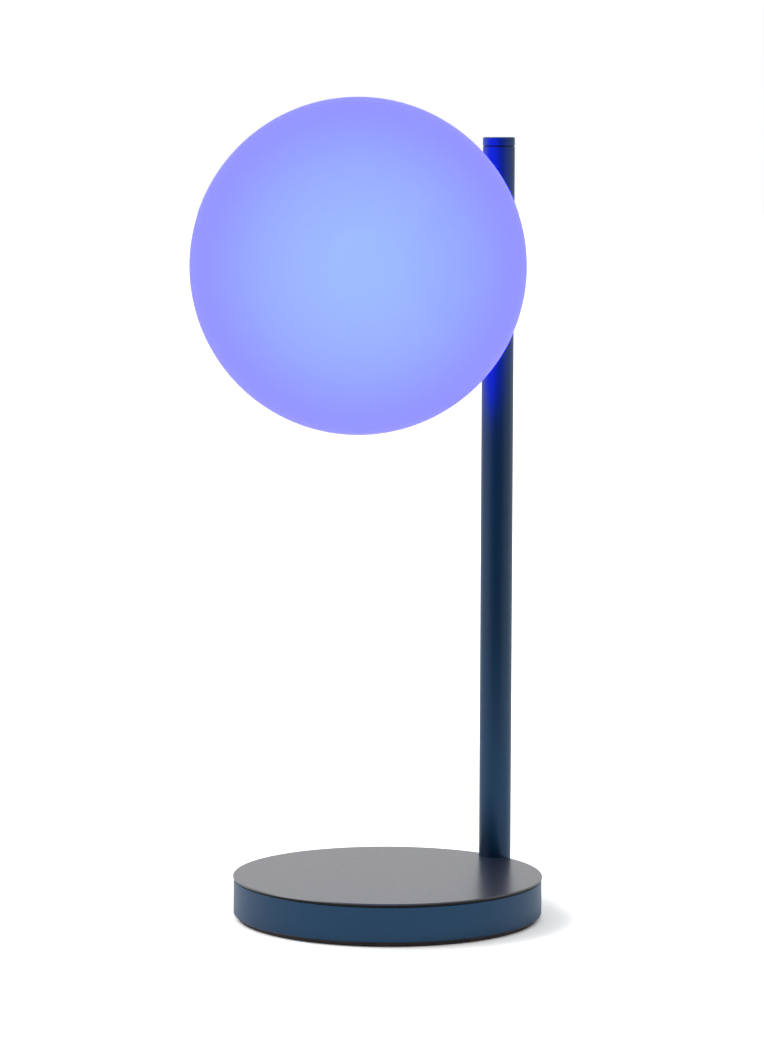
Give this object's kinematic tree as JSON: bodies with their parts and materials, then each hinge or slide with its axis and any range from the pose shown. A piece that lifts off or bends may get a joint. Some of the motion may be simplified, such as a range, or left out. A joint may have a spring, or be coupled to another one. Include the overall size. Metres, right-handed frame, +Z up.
{
  "type": "smart globe table lamp",
  "caption": "Table lamp with a lit opal globe on a slim post, a push button on top of the post and a round phone-charging base.",
  "frame": {"origin": "centre of the base's underside, on the table", "axes": "+Z up along the post; +Y towards the post, at the back; the globe hangs in front of it towards -Y"},
  "size_m": [0.12, 0.1377, 0.2965],
  "materials": {
    "blue_anodised": "bead-blasted, anodised dark blue",
    "blue_painted_top": "fine satin metallic paint over moulded plastic",
    "opal_globe": "satin opal acrylic, lit from inside",
    "foot_rubber": "matt silicone rubber",
    "zinc_steel": "bright zinc-plated steel",
    "ballast_steel": "cut plate, oiled",
    "raw_aluminium": "turned",
    "stainless": "spring steel, polished",
    "nickel": "nickel-plated shell",
    "board_laminate": "glass-epoxy laminate with solder mask",
    "white_board": "metal-core board, white solder mask",
    "tinned_can": "tin-plated screening can",
    "ferrite_black": "sintered ferrite",
    "copper_coil": "enamelled litz copper wire, bonded flat",
    "ivory_plastic": "moulded ABS",
    "black_plastic": "moulded PBT",
    "opal_dome": "moulded opal polycarbonate",
    "led_yellow": "silicone lens over the diodes",
    "film_amber": "polyimide film",
    "lead_white": "PVC jacket",
    "lead_red": "PVC insulation",
    "gasket_rubber": "matt silicone"
  },
  "bodies": {
    "lamp": {"foot_pad": "foot_rubber", "bottom_plate": "zinc_steel", "bottom_screws": "zinc_steel", "base_shell": "blue_anodised", "ballast_weight": "ballast_steel", "insulating_sheet": "film_amber", "main_board": "board_laminate", "board_screws": "zinc_steel", "usb_socket": "nickel", "radio_module": "tinned_can", "power_inductors": "ferrite_black", "lead_headers": "ivory_plastic", "coil_tray": "ivory_plastic", "ferrite_sheet": "ferrite_black", "charging_coil": "copper_coil", "rim_seal": "gasket_rubber", "top_plate": "blue_painted_top", "post_tube": "blue_anodised", "post_plug": "raw_aluminium", "post_screws": "zinc_steel", "head_insert": "raw_aluminium", "button_guide": "ivory_plastic", "button_spring": "stainless", "tact_switch": "black_plastic", "switch_board": "board_laminate", "switch_carrier": "ivory_plastic", "saddle": "blue_anodised", "neck_tube": "zinc_steel", "head_plate": "blue_anodised", "head_gasket": "gasket_rubber", "globe_screws": "zinc_steel", "lock_nut": "zinc_steel", "led_carrier": "raw_aluminium", "led_board": "white_board", "leds": "led_yellow", "led_screws": "zinc_steel", "inner_diffuser": "opal_dome", "globe": "opal_globe", "lamp_lead": "lead_white", "switch_lead": "lead_red", "coil_lead": "lead_white"},
    "button": {"button_cap": "blue_anodised", "button_stem": "stainless", "stem_clip": "stainless", "switch_plunger": "black_plastic"}
  },
  "joints": [
    {"name": "button_press", "type": "slide", "parent": "lamp", "child": "button", "axis": [0, 0, -1], "range_m": [0, 0.00025], "stiffness_N_per_m": 2500, "springref_m": -0.00024, "deforming": ["button_spring"]}
  ]
}
